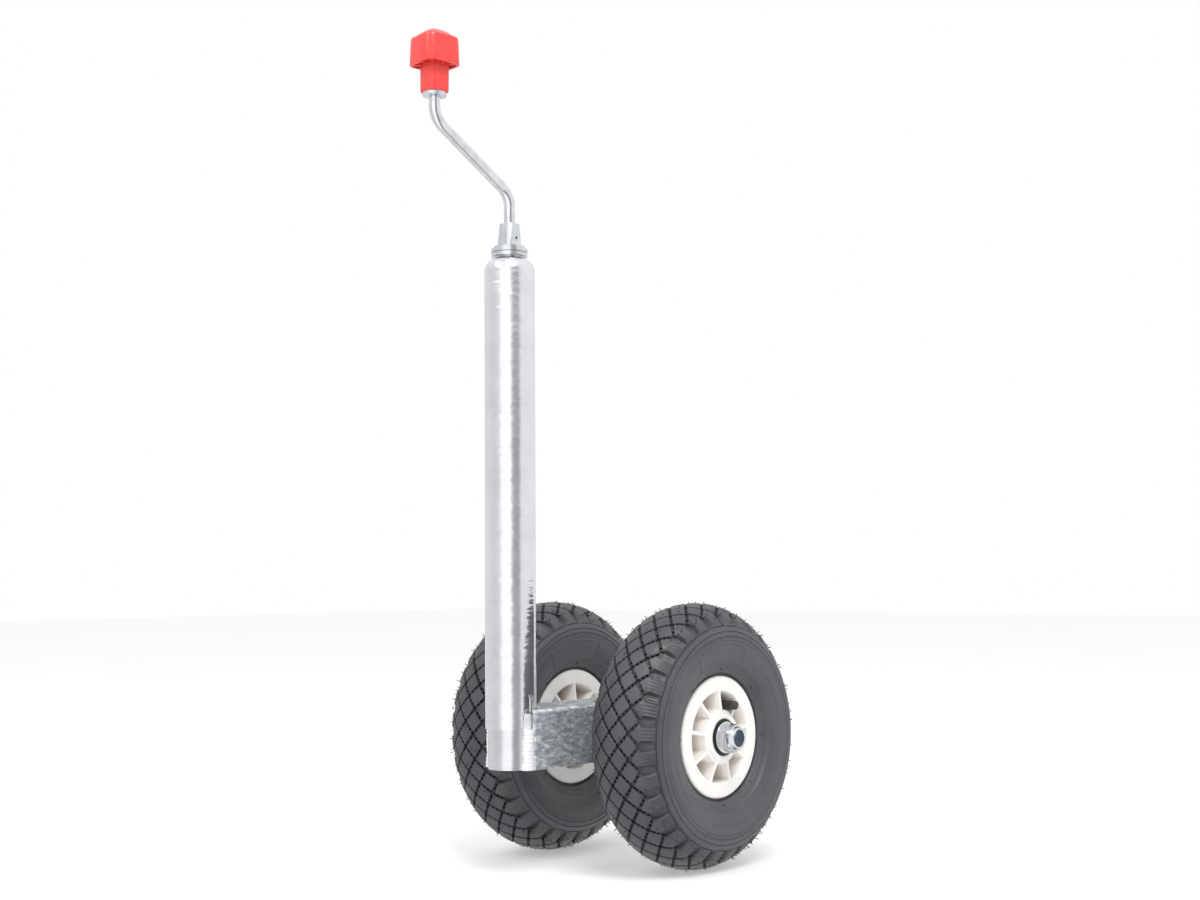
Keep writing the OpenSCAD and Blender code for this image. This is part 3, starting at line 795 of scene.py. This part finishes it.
def rim_mesh():
    """One-piece rim: hub, pockets between ribs and flange, as a grid that follows the ribs."""
    # (radius, share of full height, full height)
    hub = [(17.5, 0.0), (17.5, 35.1), (17.9, 35.5), (21.9, 35.5), (22.5, 35.0), (22.9, 33.9)]
    face = [(23.6, 1), (25.3, 1), (25.9, 0.97), (26.6, 0.10), (27.8, 0.0), (31, 0), (35, 0),
            (39, 0), (41.4, 0.0), (42.5, 0.10), (43.1, 0.97), (43.8, 1)]
    flange = [(45.5, 31.0), (50, 31.0), (55.5, 31.0), (56.9, 30.7), (57.6, 30.0),
              (57.8, 29.2), (57.8, 28.0), (57.3, 27.1), (51.2, 27.0), (50.8, 26.5),
              (50.8, 9.0), (50.8, 0.0)]
    across = [(0.0, 1.0), (RIB_HALF - 0.35, 1.0), (RIB_HALF, 0.96), (RIB_HALF + 0.5, 0.08),
              (RIB_HALF + 1.5, 0.0)]
    middles = 5
    sector = 2 * pi / RIBS
    columns = []
    for i in range(RIBS):
        for d, w in across:
            columns.append((i, d, w, 0.0))
        for m in range(1, middles + 1):
            columns.append((i, across[-1][0], 0.0, m / (middles + 1)))
        for d, w in reversed(across[1:]):
            columns.append((i, -d, w, 1.0))

    def angle(column, r):
        i, d, _, share = column
        base = pi / 2 + i * sector
        if share == 0.0:
            return base + asin(d / r)
        if share == 1.0:
            return base + sector - asin(-d / r)
        edge = asin(d / r)
        return base + edge + share * (sector - 2 * edge)

    def ring(r, height):
        out = []
        for c in columns:
            a = angle(c, max(r, 17.5))
            out.append((r * cos(a), r * sin(a), height(c)))
        return out

    rings = []
    for r, z in hub:
        rings.append(ring(r, lambda c, z=z: z))
    for r, w in face:
        full = 33.2 + (FLANGE_FACE - 33.2) * min(1, (r - 23.6) / 14)

        def height(c, w=w, full=full):
            return POCKET_FLOOR + (full - POCKET_FLOOR) * max(w, c[2])
        rings.append(ring(r, height))
    for r, z in flange:
        rings.append(ring(r, lambda c, z=z: z))
    top = [np.array(q) for q in rings]
    bottom = [q * np.array([1, 1, -1]) for q in reversed(top[1:-1])]
    return loft(top + bottom, closed=True)


for side, name in ((-1, "near"), (1, "far")):
    v, f = rim_mesh()
    rim = piece(name + "_rim_moulding", hub_place(v, side), f, name + "_wheel", NYLON,
                "white_nylon", [name + "_rim"], sharp=50)
    normals_out(rim)


# ---------------------------------------------------------------- valve
VALVE_R = 32.3
VALVE_ANGLE = radians(66)


def valve_parts():
    bend = 5.0
    path = [(VALVE_R + bend + s, 0, 10.0) for s in (24, 16, 8, 0)]
    path += [(VALVE_R + bend - bend * sin(a), 0, 10 + bend - bend * cos(a))
             for a in (radians(q) for q in range(10, 91, 10))]
    path += [(VALVE_R, 0, z) for z in (18, 21.0, 21.01, 33)]
    radii = [3.0] * (len(path) - 2) + [2.6, 2.6]
    stem = tube_along(path, radii, 20)
    collar = lathe([(2.4, 19.0), (4.3, 19.0), (4.3, 20.8), (2.4, 20.8)], 6)
    collar = (collar[0] + np.array([VALVE_R, 0, 0]), collar[1])
    # ribbed cap
    n = 72
    rings = []
    for z, r, rib in ((21.0, 4.2, 0), (21.4, 4.5, 0), (22.2, 4.55, 0), (22.8, 4.35, 1),
                      (35.8, 4.25, 1), (36.4, 4.5, 0), (39.2, 4.4, 0), (40.4, 3.9, 0),
                      (41.0, 3.0, 0), (41.0, 1.0, 0)):
        ring = []
        for k in range(n):
            a = k * 2 * pi / n
            rr = r + rib * 0.28 * (1 if k % 4 < 2 else -0.4)
            ring.append((VALVE_R + rr * cos(a), rr * sin(a), z))
        rings.append(ring)
    cap = loft(rings)
    return join(stem, collar), cap


TURN = Matrix.Rotation(VALVE_ANGLE, 3, "Z")
for side, name in ((-1, "near"), (1, "far")):
    stem, cap = valve_parts()
    for part, kind, look, slot in ((stem, "stem", BRASS, "brass"),
                                   (cap, "cap", BLACK, "black_plastic")):
        v, f = moved(part, TURN.to_4x4())
        obj = piece(f"{name}_valve_{kind}_turned", hub_place(v, side), f, name + "_wheel",
                    look, slot, [f"{name}_valve_{kind}"])
        normals_out(obj)


# ---------------------------------------------------------------- column
bevelled_copy("outer_tube_rolled", ["outer_tube"], GALV, "galvanised", "column",
                      0.7, 3)
bevelled_copy("bracket_folded", ["axle_bracket"], PLATE, "zinc_plate", "carriage",
                        0.5, 2)
bevelled_copy("axle_nuts_turned", ["axle_nuts"], BRIGHT, "bright_zinc", "carriage",
                     0.35, 2)
bevelled_copy("axle_washers_turned", ["axle_washers"], BRIGHT, "bright_zinc",
                        "carriage", 0.4, 2)
bevelled_copy("crank_socket_forged", ["crank_socket"], BRIGHT, "bright_zinc",
                       "crank", 0.8, 3)


def axle_mesh():
    reach = box_mm("axle")[1][1]
    r = (box_mm("axle")[1][2] - box_mm("axle")[0][2]) / 2
    half = [(0.6, reach - 1.6), (3.0, reach - 1.5), (5.2, reach - 0.5), (6.2, reach - 0.1),
            (7.0, reach), (r - 0.25, reach - 0.8), (r, reach - 1.6)]
    profile = half + [(q, -z) for q, z in reversed(half)]
    v, f = lathe(profile, 48)
    return np.column_stack([AXLE[0] + v[:, 0], v[:, 2], AXLE[2] - v[:, 1]]), f


axle = piece("axle_turned", *axle_mesh(), "carriage", DARK_AXLE_FINISH, "zinc_plate", ["axle"])
normals_out(axle)


# ---------------------------------------------------------------- welds
TUBE_FOOT = box_mm("outer_tube")[0][2]


CLOSING_RUN = 17.5      # the beads slide this far up into the slots when the jack closes
SLOT_HALF = 6.8
BEAD_REACH = 24.1       # how far from the column's axis a bead may stand in a slot


def weld_bead(hand, seed):
    rng = random.Random(seed)
    low, high = box_mm("weld_beads")
    rings = []
    z = low[2]
    height = high[2] - low[2]
    n = 22
    while z < high[2]:
        u = (z - low[2]) / height
        ripple = 0.35 * sin(2 * pi * (z - low[2]) / 3.6) + rng.uniform(-0.12, 0.12)
        wide = 6.2 + 0.9 * (1 - u) ** 2 + ripple * 0.8 + 0.45 * sin(z * 0.33 + seed)
        if u > 0.88:
            wide *= sqrt(max(0.05, 1 - ((u - 0.88) / 0.12) ** 2)) * 0.7 + 0.3
        out = 5.6 + 0.4 * (1 - u) + ripple
        cx = -0.3 + 0.3 * sin(z * 0.21 + seed)
        if z > TUBE_FOOT - CLOSING_RUN:
            wide = min(wide, SLOT_HALF - abs(cx))
        ring = []
        for a in (k * 2 * pi / n for k in range(n)):
            x, y = cx + wide * cos(a), 23.2 + out * sin(a)
            # dressed back inside the slot, as the CAD has it
            over = min(1.0, max(0.0, (z - TUBE_FOOT + 1.5) / 2.0))
            reach = math.hypot(x, y)
            limit = BEAD_REACH + ripple * 0.3
            if reach > limit:
                pull = 1 + (limit / reach - 1) * over
                x, y = x * pull, y * pull
            ring.append((x, hand * y, z))
        rings.append(ring)
        z += 0.75
    return loft(rings)


beads = join(weld_bead(-1, 3), weld_bead(1, 8))
bead = piece("weld_beads_rippled", *beads, "carriage", WELD, "weld_metal", ["weld_beads"], 60)
normals_out(bead)


# ---------------------------------------------------------------- crank rod
def rod_path():
    throw = -centre("knob")[0]
    low_z, high_z, bend = 289.3, 344.5, 20.0
    lean = atan2(throw, high_z - low_z)
    cut = bend * math.tan(lean / 2)
    start = box_mm("crank_rod")[0][2]
    end = box_mm("crank_rod")[1][2]
    path = [(0, 0, start), (0, 0, (start + low_z - cut) / 2), (0, 0, low_z - cut)]
    steps = 14
    for k in range(1, steps + 1):
        a = lean * k / steps
        path.append((-bend * (1 - cos(a)), 0, low_z - cut + bend * sin(a)))
    for k in range(steps, -1, -1):
        a = lean * k / steps
        path.append((-throw + bend * (1 - cos(a)), 0, high_z + cut - bend * sin(a)))
    return path + [(-throw, 0, (high_z + cut + end) / 2), (-throw, 0, end)]


ROD_R = 5.3
rod = piece("crank_rod_bent", *tube_along(rod_path(), ROD_R, 32), "crank", ROD, "galvanised",
            ["crank_rod"])
normals_out(rod)


# ---------------------------------------------------------------- knob
KNOB_W = 37
KNOB_TURN = 7           # the knob stands turned a little on its rod


def knob_mesh():
    low, high = box_mm("knob")
    x0 = centre("knob")[0]
    z0, z1 = low[2], high[2]
    skirt, side_top, wall = z0 + 25, z1 - 10, 2.6
    n = 9

    def sq(w, r, z):
        return round_square(w, r, z, n, x0)

    bore = [np.array([(x0 + 5.6 * cos(a), 5.6 * sin(a), z) for a in
                      np.concatenate([np.linspace(q * pi / 2, (q + 1) * pi / 2, n)
                                      for q in range(4)])]) for z in (z0 + 36, z0 + 0.4)]
    bore.append(bore[-1] * 1.0)
    bore[-1][:, 2] = z0
    bore[-1][:, 0] = x0 + (bore[-1][:, 0] - x0) * 1.08
    bore[-1][:, 1] *= 1.08
    neck = [sq(19.6, 3.6, z0), sq(20.6, 4.0, z0 + 0.5), sq(20.9, 4.2, z0 + 1.4),
            sq(21.2, 4.2, z0 + 24), sq(21.6, 4.4, side_top - 5), sq(24, 5, side_top - 3.6)]
    ceiling = [sq(30, 6, side_top - 3.2), sq(KNOB_W - 2 * wall, 6, side_top - 4.5)]
    skirt_in = [sq(KNOB_W - 2 * wall + 0.3, 6, skirt + 3), sq(37.2 - 2 * wall, 6, skirt + 0.5),
                sq(37.6 - 2 * wall, 6.2, skirt)]
    skirt_out = [sq(36.6, 8, skirt), sq(37.2, 8.3, skirt + 0.5), sq(37.2, 8.3, skirt + 1.5),
                 sq(36.0, 8.3, side_top - 1.2), sq(35.6, 8.2, side_top + 0.2),
                 sq(34.6, 8.0, side_top + 1.5)]
    dome = []
    for share in (0.90, 0.78, 0.62, 0.46, 0.32, 0.20, 0.10, 0.04):
        w = 34.6 * share
        lift = 10 - 8.5 * (share / 0.94) ** 2.1
        dome.append(sq(w, min(8.0, w * 0.30), side_top + lift))
    rings = bore + neck + ceiling + skirt_in + skirt_out + dome
    body = loft(rings)
    ribs = []
    for k in range(8):
        a = k * pi / 4
        reach = (KNOB_W / 2 - 1.2) / max(abs(cos(a)), abs(sin(a))) if k % 2 == 0 else 20.4
        near_r, half = 8.5, 0.85
        # (radius, height) outline of a rib, just inside the skirt's rim
        outline = [(near_r, skirt + 0.3), (reach, skirt + 0.7), (reach, side_top - 2.5),
                   (near_r, side_top - 2.5)]
        rings_ = []
        for off in (-half, half):
            rings_.append([(x0 + r * cos(a) - off * sin(a), r * sin(a) + off * cos(a), z)
                           for r, z in outline])
        ribs.append(loft(rings_))
    v, f = join(body, *ribs)
    turn = Matrix.Rotation(radians(-KNOB_TURN), 4, "Z")
    return moved(moved((v, f), offset=(-x0, 0, 0)), turn, (x0, 0, 0))


knob = piece("knob_moulding", *knob_mesh(), "knob", RED, "red_plastic", ["knob"], 40)
normals_out(knob)


# ---------------------------------------------------------------- stage, light, camera
DIFFUSE_SHARE = 0.62    # how much of the studio's walls lights matt surfaces


def world_light():
    world = bpy.data.worlds.new("studio")
    bpy.context.scene.world = world
    world.use_nodes = True
    t = world.node_tree
    t.nodes.clear()
    coord = t.nodes.new("ShaderNodeTexCoord")
    split = t.nodes.new("ShaderNodeSeparateXYZ")
    t.links.new(coord.outputs["Generated"], split.inputs["Vector"])
    turn = t.nodes.new("ShaderNodeMath")
    turn.operation = "ARCTAN2"
    t.links.new(split.outputs["Y"], turn.inputs[0])
    t.links.new(split.outputs["X"], turn.inputs[1])
    share = t.nodes.new("ShaderNodeMapRange")
    share.inputs["From Min"].default_value = -pi
    share.inputs["From Max"].default_value = pi
    t.links.new(turn.outputs[0], share.inputs["Value"])
    ramp = t.nodes.new("ShaderNodeValToRGB")
    # brightness of the studio by compass angle, in degrees from +X towards +Y
    walls = [(-180, 1.05), (-175, 1.35), (-134, 1.40), (-127, 0.72), (-120, 0.44), (-98, 0.38),
             (-90, 0.66), (-82, 0.96), (-60, 0.98), (-20, 1.0), (0, 0.95), (61, 0.86),
             (118, 0.84), (144, 0.76), (165, 0.80), (176, 0.92), (180, 1.05)]
    fill_ramp(ramp.color_ramp, [((angle + 180) / 360, (c, c * 1.004, c * 1.022))
                                for angle, c in walls])
    t.links.new(share.outputs[0], ramp.inputs["Fac"])
    # overhead and floor level fill
    height = t.nodes.new("ShaderNodeValToRGB")
    height.color_ramp.elements[0].position = 0.62
    height.color_ramp.elements[0].color = (0, 0, 0, 1)
    height.color_ramp.elements[1].position = 0.88
    height.color_ramp.elements[1].color = (1, 1, 1, 1)
    up = t.nodes.new("ShaderNodeMapRange")
    up.inputs["From Min"].default_value = -1
    t.links.new(split.outputs["Z"], up.inputs["Value"])
    t.links.new(up.outputs[0], height.inputs["Fac"])
    blend = t.nodes.new("ShaderNodeMix")
    blend.data_type = "RGBA"
    t.links.new(height.outputs["Color"], blend.inputs[0])
    t.links.new(ramp.outputs["Color"], blend.inputs[6])
    blend.inputs[7].default_value = (1.05, 1.05, 1.06, 1)
    lit = t.nodes.new("ShaderNodeBackground")
    soft = t.nodes.new("ShaderNodeMapRange")
    soft.inputs["To Min"].default_value = 1.0
    soft.inputs["To Max"].default_value = DIFFUSE_SHARE
    t.links.new(blend.outputs[2], lit.inputs["Color"])
    seen = t.nodes.new("ShaderNodeBackground")
    seen.inputs["Color"].default_value = (1, 1, 1, 1)
    path = t.nodes.new("ShaderNodeLightPath")
    t.links.new(path.outputs["Is Diffuse Ray"], soft.inputs["Value"])
    t.links.new(soft.outputs[0], lit.inputs["Strength"])
    both = t.nodes.new("ShaderNodeMixShader")
    t.links.new(path.outputs["Is Camera Ray"], both.inputs[0])
    t.links.new(lit.outputs[0], both.inputs[1])
    t.links.new(seen.outputs[0], both.inputs[2])
    out = t.nodes.new("ShaderNodeOutputWorld")
    t.links.new(both.outputs[0], out.inputs["Surface"])


def floor():
    size = 9.0
    mesh = bpy.data.meshes.new("studio_floor")
    z = (FLOOR_Z - 0.1) * MM
    mesh.from_pydata([(-size, -size, z), (size, -size, z), (size, size, z), (-size, size, z)],
                     [], [(0, 1, 2, 3)])
    obj = bpy.data.objects.new("studio_floor", mesh)
    bpy.context.scene.collection.objects.link(obj)
    k = Nodes("pale_floor")
    tone = k.ramp(k.noise(3, 3, 0.5), [(0.3, 0.84), (0.7, 0.87)])
    mesh.materials.append(k.out(tone, 0.75, None, Emission_Strength=0.34,
                                Emission_Color=(1, 1, 1, 1)))
    obj.visible_glossy = False
    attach(obj, "carriage")     # the wheels stand on it however far the jack is wound


def area(name, place, target, size, power):
    light = bpy.data.lights.new(name, "AREA")
    light.shape = "SQUARE"
    light.size = size
    light.energy = power
    obj = bpy.data.objects.new(name, light)
    bpy.context.scene.collection.objects.link(obj)
    obj.location = place
    obj.rotation_euler = (Vector(target) - Vector(place)).to_track_quat("-Z", "Y").to_euler()


# the camera that was fitted to the object's own sizes
CAMERA_AT = (-1.1125, -1.0955, -0.0724)
CAMERA_TURN = (48.56, 4.29, 0.4)     # azimuth, pitch and roll
LENS = 49.66


def camera():
    azimuth, pitch, roll = (radians(v) for v in CAMERA_TURN)
    forward = Vector((sin(azimuth) * cos(pitch), cos(azimuth) * cos(pitch), sin(pitch)))
    right = Vector((cos(azimuth), -sin(azimuth), 0))
    down = forward.cross(right)
    right, down = (cos(roll) * right + sin(roll) * down, -sin(roll) * right + cos(roll) * down)
    data = bpy.data.cameras.new("camera")
    data.sensor_width = 36
    data.lens = LENS
    obj = bpy.data.objects.new("camera", data)
    bpy.context.scene.collection.objects.link(obj)
    turn = Matrix((right, -down, -forward)).transposed()
    obj.matrix_world = Matrix.Translation(CAMERA_AT) @ turn.to_4x4()
    bpy.context.scene.camera = obj


world_light()
floor()
area("key", (-0.9, -1.6, 2.3), (0.05, -0.05, -0.15), 1.2, 46)
area("fill", (-1.9, 0.5, 1.9), (0.1, 0, -0.1), 1.2, 16)
camera()
bpy.context.scene.view_settings.view_transform = "Standard"
